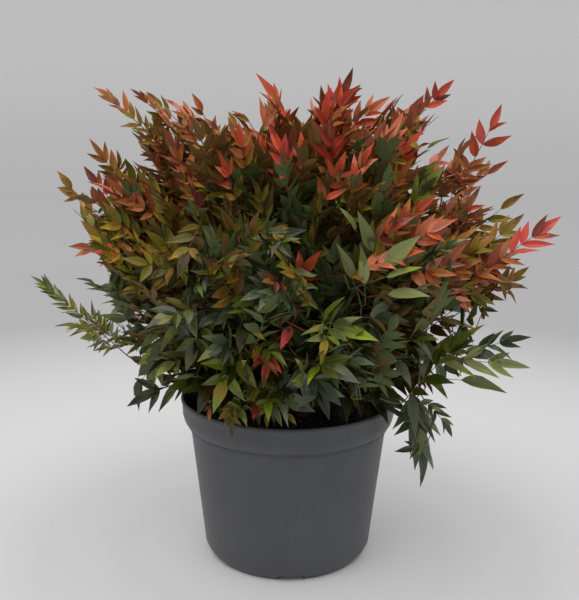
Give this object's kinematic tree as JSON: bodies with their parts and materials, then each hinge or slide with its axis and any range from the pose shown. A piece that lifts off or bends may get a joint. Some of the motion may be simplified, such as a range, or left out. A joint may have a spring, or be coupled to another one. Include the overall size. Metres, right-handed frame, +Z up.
{
  "type": "heavenly bamboo shrub in a nursery pot",
  "caption": "Bushy heavenly bamboo, red above and green below, with leafy canes rising from a root ball in a round dark grey plastic pot.",
  "frame": {"origin": "centre of the pot's flat underside, on the surface that it stands on", "axes": "+Z up along the pot's axis, +X to the right-hand side and -Y to the front of the shrub"},
  "size_m": [0.5359, 0.4364, 0.5172],
  "materials": {
    "pot_plastic": "matte",
    "potting_mix": "matte",
    "cane_bark": "matte",
    "leaf_stalk": "satin",
    "leaf_green": "satin",
    "leaf_bronze": "satin",
    "leaf_red": "satin"
  },
  "bodies": {
    "root": {"pot": "pot_plastic", "root_ball": "potting_mix", "cane_1": "cane_bark", "cane_2": "cane_bark", "cane_3": "cane_bark", "cane_4": "cane_bark", "cane_5": "cane_bark", "cane_6": "cane_bark", "cane_7": "cane_bark", "cane_8": "cane_bark", "cane_9": "cane_bark", "bough_low_1": "leaf_stalk", "bough_low_2": "leaf_stalk", "bough_low_3": "leaf_stalk", "bough_low_4": "leaf_stalk", "bough_low_5": "leaf_stalk", "bough_low_6": "leaf_stalk", "bough_low_7": "leaf_stalk", "bough_middle_1": "leaf_stalk", "bough_middle_2": "leaf_stalk", "bough_middle_3": "leaf_stalk", "bough_middle_4": "leaf_stalk", "bough_middle_5": "leaf_stalk", "bough_middle_6": "leaf_stalk", "bough_middle_7": "leaf_stalk", "foliage_skirt_1": "leaf_green", "foliage_skirt_2": "leaf_green", "foliage_skirt_3": "leaf_green", "foliage_skirt_4": "leaf_green", "foliage_skirt_5": "leaf_green", "foliage_low_1": "leaf_green", "foliage_low_2": "leaf_green", "foliage_low_3": "leaf_green", "foliage_low_4": "leaf_green", "foliage_low_5": "leaf_green", "foliage_low_6": "leaf_green", "foliage_low_7": "leaf_green", "foliage_middle_1": "leaf_bronze", "foliage_middle_2": "leaf_bronze", "foliage_middle_3": "leaf_bronze", "foliage_middle_4": "leaf_bronze", "foliage_middle_5": "leaf_bronze", "foliage_middle_6": "leaf_bronze", "foliage_middle_7": "leaf_bronze", "foliage_shoulder_1": "leaf_red", "foliage_shoulder_2": "leaf_red", "foliage_shoulder_3": "leaf_red", "foliage_shoulder_4": "leaf_red", "foliage_shoulder_5": "leaf_red", "foliage_shoulder_6": "leaf_red", "foliage_top_1": "leaf_red", "foliage_top_2": "leaf_red", "foliage_top_3": "leaf_red", "foliage_spray_far_left": "leaf_green", "foliage_spray_top_left": "leaf_red", "foliage_spray_right_shoot": "leaf_red", "foliage_spray_top_right": "leaf_red", "foliage_spray_lower_right": "leaf_green", "foliage_spray_hanging_right": "leaf_green", "foliage_spray_hanging_left": "leaf_green"}
  },
  "joints": []
}
